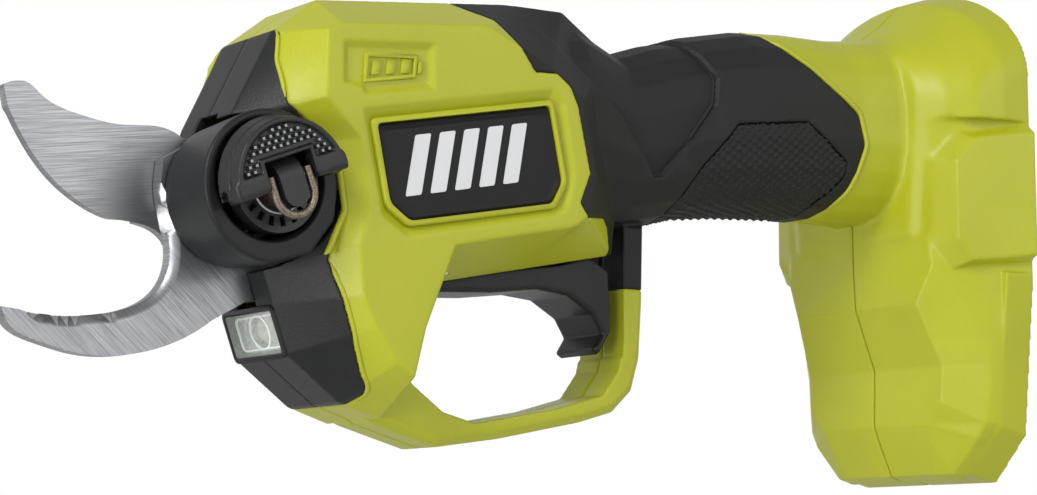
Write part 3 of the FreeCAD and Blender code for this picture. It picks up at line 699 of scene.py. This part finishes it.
def grip_pieces(side_name, side, head_skin):
    skin = joined(copy_of(f"grip_overmould_{side_name}", f"grip_skin_{side_name}"), head_skin)
    soften(skin, 0.42 * MM, 5, 1)
    step_in(skin, S_LINE, 1.5, 4.5)
    thinned(skin, 0.4)
    piece(skin, "tool", "soft_grip", rubber, f"grip_overmould_{side_name}")

    pad = soften(copy_of(f"grip_pad_{side_name}", f"grip_texture_{side_name}"), 0.32 * MM, 3, 1)
    pitch, height, radius = 1.75, 0.42, 20      # of the diamonds, and of the grip they wrap
    tilt = math.radians(12)
    mesh = pad.data
    moves = []
    for v in mesh.vertices:
        if v.normal.y * side < 0.15 and v.normal.z > -0.5:
            continue
        arc = math.atan2(v.co.z / MM + 1, abs(v.co.y) / MM) * radius
        x = v.co.x / MM
        a = (x * math.cos(tilt) + arc * math.sin(tilt)) / pitch
        b = (arc * math.cos(tilt) - x * math.sin(tilt)) / (pitch * 0.62)
        u, w = (a + b) * 0.5, (a - b) * 0.5
        peak = (1 - abs(2 * (u % 1) - 1)) * (1 - abs(2 * (w % 1) - 1))
        moves.append((v.index, v.normal * ((peak * 1.5 - 0.9) * height * MM)))
    for index, move in moves:
        mesh.vertices[index].co += move
    mesh.update()
    shade(pad)
    piece(pad, "tool", "soft_grip", rubber, f"grip_pad_{side_name}")


NOSE_EDGE_TOP = [(-213.2, 12.3), (-216.9, -2), (-216.9, -11.5)]
NOSE_EDGE_LOW = [(-206.2, -46.8), (-203.5, -54), (-199.7, -64), (-196.1, -70.3),
                 (-192.7, -74.6), (-194, -77)]
GRIP_EDGE = [(-76, 29), (-66, 20.3), (-43, 4.6), (-40.7, -3.8), (-43.6, -15), (-51, -27)]
COLLAR_EDGE = [(-204.9, -21.5), (-205.7, -26.3), (-204.1, -35.3), (-208.4, -44.9), (-211.8, -46.7)]


def lips(side_name, side):
    target = surface_of(f"housing_{side_name}", f"nose_cover_{side_name}", f"grip_overmould_{side_name}")
    for label, edge, radius in (("nose_top", NOSE_EDGE_TOP, 0.55), ("nose_low", NOSE_EDGE_LOW, 0.55),
                                ("grip_rear", GRIP_EDGE, 0.6)):
        path = laid_path(target, edge, side)
        lip = tube_along(f"lip_{label}_{side_name}", path, radius * MM)
        piece(lip, "tool", "green_plastic", lime)
    if side < 0:
        rim = [Vector((x * MM, -24.3 * MM, z * MM)) for x, z in filleted(COLLAR_EDGE, 1.0)[6:-6]]
        piece(tube_along("lip_collar", rim, 0.7 * MM), "tool", "green_plastic", lime)


# ---- badge: raised lip, dark plate and five plain bars ---------------------------------------------
BADGE_SLOPE = 0.196
BAR_START, BAR_PITCH, BARS = (-189.5, -31.2), 6.7, 5


def slanted(x0, z0, width, height, lean=0.18):
    """A four-cornered bar that follows the badge's slope."""
    low = [(x0, z0), (x0 + width, z0 + width * BADGE_SLOPE)]
    high = [(x + height * lean, z + height) for x, z in reversed(low)]
    return low + high


def badge_pieces(side_name, side):
    # Levels: height over the parting plane, growth of the badge's outline, corner radius.
    plate_levels = ((24.6, 0.1, 1.4), (26.2, 0.1, 1.4), (26.55, -0.5, 1.2), (26.3, -1.6, 1.0))
    lip_levels = ((25.0, 1.6, 1.6), (26.8, 1.45, 1.6), (27.1, 1.1, 1.5))
    plate, ring = (
        layered(f"{name}_{side_name}", [(side * y, filleted(grown(BADGE, by), r)) for y, by, r in levels])
        for name, levels in (("badge_plate", plate_levels), ("badge_lip", lip_levels)))
    piece(plate, "tool", "badge_plastic", badge_skin, f"badge_{side_name}")
    boolean(ring, slab("hole", filleted(grown(BADGE, 0.25), 1.4), side * 20, side * 30))
    piece(rounded_edges(ring, 0.25 * MM, 2, 40), "tool", "green_plastic", lime)

    for i in range(BARS):
        along = i * BAR_PITCH
        outline = slanted(BAR_START[0] + along, BAR_START[1] + along * BADGE_SLOPE, 4.2, 14.2)
        bar = slab(f"badge_mark_{side_name}_{i}", filleted(outline, 0.5, 3), side * 26.0, side * 26.5)
        piece(bar, "tool", "badge_plastic", print_silver)


def window_mark(side_name, side):
    """A raised cell symbol in the recessed window."""
    outer = [(-201, -6.6), (-187, -4.1), (-186.4, 1.3), (-200.4, 0.2)]
    frame_piece = layered(f"cell_frame_{side_name}", [(side * 25.5, outer), (side * 26.7, outer)])
    boolean(frame_piece, slab("hole", grown(outer, -0.9), side * 20, side * 30))
    piece(rounded_edges(frame_piece, 0.18 * MM, 2), "tool", "green_plastic", lime)
    tip = [(-186.6, -2.9), (-185.3, -2.7), (-185.0, 0.0), (-186.3, -0.2)]
    piece(rounded_edges(slab(f"cell_tip_{side_name}", tip, side * 25.5, side * 26.7), 0.15 * MM, 2),
          "tool", "green_plastic", lime)
    for i in range(3):
        x = -198.9 + 3.9 * i
        z = -4.7 + 0.6 * i
        bar = [(x, z), (x + 2.4, z + 0.4), (x + 2.9, z + 3.6), (x + 0.5, z + 3.3)]
        piece(rounded_edges(slab(f"cell_bar_{side_name}_{i}", bar, side * 25.5, side * 26.6), 0.15 * MM, 2),
              "tool", "green_plastic", lime)


for side_name, side in SIDES:
    grip_pieces(side_name, side, shell_pieces(side_name, side))
    lips(side_name, side)
    badge_pieces(side_name, side)
    window_mark(side_name, side)


# ---- blades: ground bevels along the cutting edges -------------------------------------------------
HOOK_EDGE = [(-238.7, -29.7), (-238.1, -34.2), (-236.5, -40.5), (-235.9, -46), (-238.7, -53.1),
             (-242.6, -56.2), (-252.3, -59.3), (-261.9, -60.3), (-271.3, -59.6)]
CUTTER_EDGE = [(-273.4, -16), (-269.9, -22), (-263.1, -30.2), (-255.7, -35.3), (-248, -38),
               (-240.6, -38.8), (-234.5, -42.5)]


def along_line(points, x, z):
    """The spot nearest to (x, z): its distance, unit direction, and the length before and after it."""
    spot, gone, best = Vector((x, z)), 0.0, None
    total = sum((Vector(b) - Vector(a)).length for a, b in zip(points, points[1:]))
    for a, b in zip(points, points[1:]):
        a, b = Vector(a), Vector(b)
        run = b - a
        t = min(1, max(0, (spot - a).dot(run) / run.length_squared))
        distance = (spot - (a + run * t)).length
        if best is None or distance < best[0]:
            before = gone + run.length * t
            best = (distance, run.normalized(), before, total - before)
        gone += run.length
    return best


def ground_blade(node, edge, face_y, width, skin):
    """The blade with one face cut back along its edge, so the side there becomes a wide bevel."""
    blade = copy_of(node, f"{node}_ground")
    bm = bmesh.new()
    bm.from_mesh(blade.data)
    flat = [f for f in bm.faces if all(abs(v.co.y - face_y * MM) < 1e-5 for v in f.verts)]
    bmesh.ops.delete(bm, geom=flat, context="FACES_ONLY")
    for v in bm.verts:
        if abs(v.co.y - face_y * MM) > 1e-5:
            continue
        distance, run, before, after = along_line(edge, v.co.x / MM, v.co.z / MM)
        if distance < 1.6:
            reach = width * min(1, before / 5, after / 5) * MM
            v.co.x -= run.y * reach
            v.co.z += run.x * reach
    rim = [e for e in bm.edges if e.is_boundary]
    bmesh.ops.triangle_fill(bm, edges=rim, use_beauty=True, use_dissolve=False)
    bmesh.ops.recalc_face_normals(bm, faces=bm.faces)
    bm.to_mesh(blade.data)
    bm.free()
    piece(blade, node_body[node], "blade_steel", skin, node)
    facing = 1 if face_y > 0 else -1
    # The sloped bevel faces get the near-white steel: real grinding, and partly a painted glint.
    second_skin(blade, ground_bevel_painted_glint, lambda f: 0.25 < f.normal.y * facing < 0.97)


ground_blade("hook_blade", HOOK_EDGE, -3.9, 2.4, hook_steel)
ground_blade("cutting_blade", CUTTER_EDGE, 3.1, 3.2, cutter_steel)


# ---- pivot collar, hub and flip lever ---------------------------------------------------------------
PIVOT = (-222.0, -31.4)
KNOB_TILT = math.radians(21)


def about_pivot(y, u, v):
    return ((PIVOT[0] + u) * MM, y * MM, (PIVOT[1] + v) * MM)


def knob_spot(s, y, n):
    """s runs along the lever's straight edge, n across it towards the disc, y along the pivot."""
    x = PIVOT[0] + s * math.cos(KNOB_TILT) - n * math.sin(KNOB_TILT)
    z = PIVOT[1] + s * math.sin(KNOB_TILT) + n * math.cos(KNOB_TILT)
    return (x * MM, y * MM, z * MM)


def knob_outline(points):
    """(s, n) points as (x, z) in millimetres."""
    spots = (knob_spot(s, 0, n) for s, n in points)
    return [(x / MM, z / MM) for x, _, z in spots]


def pivot_collar():
    collar = revolve("collar_body", [(-4.3, 8.8), (-4.3, 15.9), (-23.4, 17.05), (-24, 16.6), (-24, 8.8)],
                     about_pivot, 96)
    bore = revolve("bore", [(-10.5, 0), (-10.5, 12.6), (-22.8, 13.1), (-26, 14.8), (-26, 0)],
                   lambda y, u, v: about_pivot(y, u - 0.9, v + 1.4), 96)
    boolean(collar, bore)
    for angle in (-74, -38, -6):
        a = math.radians(angle)
        run = Vector((-math.sin(a), math.cos(a)))
        out = Vector((math.cos(a), math.sin(a)))
        corners = [out * reach + run * across
                   for reach, across in ((16.1, 14), (16.1, -14), (30, -14), (30, 14))]
        flat = [(PIVOT[0] + c.x, PIVOT[1] + c.y) for c in corners]
        lean = [(x + out.x * 1.1, z + out.y * 1.1) for x, z in flat]
        boolean(collar, layered("flat", [(-15, lean), (-22, flat), (-30, flat)]))
    piece(soften(collar, 0.34 * MM, 3, 0.35), "tool", "black_plastic", black, "pivot_collar")


def knob_hub():
    sleeve = revolve("hub_sleeve", [(-25.1, 3.3), (-25.1, 5.2), (-30.0, 5.2), (-30.3, 4.9), (-30.3, 3.3)],
                     lambda y, u, v: knob_spot(u, y, v), 64)
    boolean(sleeve, slab("upper", knob_outline([(-9, 0.4), (9, 0.4), (9, 9), (-9, 9)]), -35, -20))
    piece(shade(sleeve), "knob", "bronze", dark_bronze)
    washer = revolve("hub_washer",
                     [(-25.15, 5.0), (-25.15, 6.35), (-25.6, 6.45), (-25.75, 6.2), (-25.75, 5.0)],
                     lambda y, u, v: knob_spot(u, y, v), 64)
    boolean(washer, slab("upper", knob_outline([(-9, -0.4), (9, -0.4), (9, 9), (-9, 9)]), -35, -20))
    piece(shade(washer), "knob", "plain_steel", machined)


def arc(radius, start, stop, steps):
    """(s, n) points on a circle about the knob's axis, in degrees."""
    turns = [math.radians(start + (stop - start) * i / steps) for i in range(steps + 1)]
    return [(radius * math.cos(a), radius * math.sin(a)) for a in turns]


def flip_lever():
    lever = copy_of("flip_lever", "lever_body")
    for hand in (-1, 1):
        bar = [(6.4, -0.8), (11, -1.0), (14.2, -1.0), (14.6, 0), (14.6, 2.2), (14.0, 3.4), (6.4, 3.4)]
        outline = knob_outline([(hand * s, n) for s, n in bar])
        levels = [(-29.3, outline), (-32.4, outline), (-32.9, grown(outline, -0.5))]
        boolean(lever, layered("bar", levels), "UNION")
        hole = revolve("ear_hole", [(12.3, 0), (12.3, 1.15), (16, 1.15), (16, 0)],
                       lambda s, u, v: knob_spot(hand * s, -27.4 + u, 1.0 + v), 24)
        boolean(lever, hole)
    field = arc(12.7, 16, 164, 40) + [(-7.0, 3.5), (-7.0, 6.4), (7.0, 6.4), (7.0, 3.5)]
    boolean(lever, slab("field", knob_outline(field), -32.15, -34))
    groove_y = -29.9
    path = [Vector(knob_spot(s, groove_y, n)) for s, n in arc(14.5, 8, 172, 60)]
    boolean(lever, tube_along("groove", path, 0.34 * MM, taper=False))
    soften(lever, 0.26 * MM, 2, 0.4)
    piece(lever, "lever", "black_plastic", lever_skin, "flip_lever")

    bm = bmesh.new()
    pitch, base, tip = 1.78, 0.70, 0.30     # of the studs: spacing and half widths
    for row in range(8):
        n = 4.3 + row * 1.25
        for column in range(-8, 9):
            s = (column + (row % 2) * 0.5) * pitch
            clear_of_tongue = abs(s) > 7.6 or n > 7.0
            if math.hypot(abs(s) + 0.4, n + 0.3) > 12.4 or not clear_of_tongue:
                continue
            spread = ((-1, -1), (1, -1), (1, 1), (-1, 1))
            low = [bm.verts.new(knob_spot(s + a * base, -32.05, n + b * base * 0.8))
                   for a, b in spread]
            high = [bm.verts.new(knob_spot(s + a * tip, -32.95, n + b * tip)) for a, b in spread]
            bm.faces.new(low)
            bm.faces.new(high)
            for i in range(4):
                j = (i + 1) % 4
                bm.faces.new((low[i], low[j], high[j], high[i]))
    pips = from_bmesh("lever_pips", bm)
    piece(pips, "lever", "black_plastic", lever_skin)
    # The stud tops facing -y get the lighter grey: a painted highlight, not wear.
    second_skin(pips, painted_highlight_tip, lambda f: f.normal.y < -0.95)


pivot_collar()
knob_hub()
flip_lever()


# ---- trigger ----------------------------------------------------------------------------------------
trigger = soften(copy_of("trigger", "trigger_body"), 0.36 * MM, 6, 0.3)
piece(trigger, "trigger", "black_plastic", trigger_skin, "trigger")

SPRING = (-118.8, -38.2, -28.3)     # x, lowest z and highest z of the return spring, in millimetres
COIL_R, COIL_TURNS, COIL_STEPS, COIL_END = 1.75, 6.5, 156, 0.3
helix = []
for i in range(COIL_STEPS + 1):
    angle, rise = 2 * math.pi * COIL_TURNS * i / COIL_STEPS, i / COIL_STEPS
    z = SPRING[1] + COIL_END + (SPRING[2] - SPRING[1] - 2 * COIL_END) * rise
    helix.append(Vector((SPRING[0] + COIL_R * math.cos(angle), COIL_R * math.sin(angle), z)) * MM)
spring = piece(tube_along("trigger_coil", helix, 0.26 * MM, taper=False),
               "tool", "plain_steel", machined, "trigger_spring")
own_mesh(spring)


# ---- lamp: clear lens over a bright tray ------------------------------------------------------------
LAMP = (-212.0, -61.2)
LAMP_TILT = math.radians(20)


def lamp_spot(depth, y, up):
    """depth runs into the head behind the lens, y across, up along the lens."""
    x = LAMP[0] + depth * math.cos(LAMP_TILT) - up * math.sin(LAMP_TILT)
    z = LAMP[1] + depth * math.sin(LAMP_TILT) + up * math.cos(LAMP_TILT)
    return (x * MM, y * MM, z * MM)


def rounded_box(half_y, half_up, radius, steps=5):
    corners = [(-half_y, -half_up), (half_y, -half_up), (half_y, half_up), (-half_y, half_up)]
    return filleted(corners, radius, steps)


def rounded_loop(half_y, half_up, radius, depth):
    return [Vector(lamp_spot(depth, y, up)) for y, up in rounded_box(half_y, half_up, radius, 6)]


def lamp_pieces():
    lens = rounded_edges(copy_of("lamp_lens", "lens"), 0.6 * MM, 4)
    piece(lens, "tool", "clear_lens", lens_skin, "lamp_lens")
    # The frame line behind the lens is a painted highlight in near-white.
    piece(tube_along("lens_frame", rounded_loop(8.7, 3.8, 1.6, 0.9), 0.28 * MM, cyclic=True),
          "tool", "clear_lens", painted_highlight_edge)
    dome = [(3.6 - 2.5 * math.cos(a), 3.4 * math.sin(a)) for a in (i * math.pi / 16 for i in range(9))]
    led = revolve("led_dome", [(dome[0][0], 0)] + dome[1:] + [(4.2, 3.4), (4.2, 0)],
                  lambda depth, u, v: lamp_spot(depth, u, v), 48)
    piece(shade(led), "tool", "clear_lens", led_skin)
    ring = [Vector(lamp_spot(1.2, 3.9 * math.cos(a), 3.9 * math.sin(a)))
            for a in (i * math.pi / 24 for i in range(48))]
    # The ring round the LED is a painted highlight in near-white.
    piece(tube_along("led_ring", ring, 0.32 * MM, cyclic=True), "tool", "clear_lens", painted_highlight_edge)
    bezel = slab("lens_bezel", rounded_box(11.2, 6.2, 2.0), 0, 1.4)
    boolean(bezel, slab("hole", rounded_box(9.95, 4.95, 0.8), -3, 4))
    for v in bezel.data.vertices:
        v.co = lamp_spot(v.co.y / MM - 1.0, v.co.x / MM, v.co.z / MM)
    bezel.data.flip_normals()
    piece(rounded_edges(bezel, 0.3 * MM, 2, 40), "tool", "black_plastic", black)


lamp_pieces()


# ---- stage: floor, light, camera ------------------------------------------------------------
SPAN, FLOOR_Z = 6.0, -0.30
floor_mesh = bpy.data.meshes.new("floor")
floor_corners = [(a * SPAN, b * SPAN, FLOOR_Z) for a, b in ((-1, -1), (1, -1), (1, 1), (-1, 1))]
floor_mesh.from_pydata(floor_corners, [], [(0, 1, 2, 3)])
floor = new_object("floor", floor_mesh)
floor_mesh.materials.append(material("pale_floor", (0.78, 0.78, 0.78), 0.8))

world = bpy.data.worlds.new("studio")
bpy.context.scene.world = world
world.use_nodes = True
sky = world.node_tree
direction = sky.nodes.new("ShaderNodeTexCoord")
height = sky.nodes.new("ShaderNodeSeparateXYZ")
band = sky.nodes.new("ShaderNodeMapRange")
band.inputs["From Min"].default_value = -1.0
shades = sky.nodes.new("ShaderNodeValToRGB")
SKY = [(0.0, 0.55), (0.47, 1.0), (0.64, 1.0), (0.80, 0.50), (1.0, 0.40)]
while len(shades.color_ramp.elements) < len(SKY):
    shades.color_ramp.elements.new(0.5)
for element, (at, value) in zip(shades.color_ramp.elements, SKY):
    element.position = at
    element.color = (value, value, value, 1)
sky.links.new(direction.outputs["Generated"], height.inputs["Vector"])
sky.links.new(height.outputs["Z"], band.inputs["Value"])
sky.links.new(band.outputs["Result"], shades.inputs["Fac"])
sky.links.new(shades.outputs["Color"], sky.nodes["Background"].inputs["Color"])
sky.nodes["Background"].inputs["Strength"].default_value = 1.0


def soft_light(name, at, aim, width, height, power):
    data = bpy.data.lights.new(name, "AREA")
    data.shape = "RECTANGLE"
    data.size, data.size_y, data.energy = width, height, power
    lamp = bpy.data.objects.new(name, data)
    bpy.context.scene.collection.objects.link(lamp)
    lamp.location = at
    lamp.rotation_euler = (Vector(aim) - Vector(at)).to_track_quat("-Z", "Y").to_euler()


AIM = (-0.12, 0, -0.02)
soft_light("key", (-1.4, -0.6, 0.9), AIM, 0.6, 0.6, 15)
soft_light("low", (-1.2, -0.40, -0.24), (-0.03, 0, -0.06), 0.4, 0.4, 5.5)
soft_light("fill", (0.3, -1.3, 0.5), AIM, 0.8, 0.8, 3)

camera_data = bpy.data.cameras.new("camera")
camera_data.lens = 88.04
camera_data.sensor_width = 36
camera = bpy.data.objects.new("camera", camera_data)
bpy.context.scene.collection.objects.link(camera)
camera.location = (-0.4994, -0.4920, -0.1152)
camera.rotation_euler = Vector((0.5860, 0.8000, 0.1288)).to_track_quat("-Z", "Y").to_euler()
bpy.context.scene.camera = camera
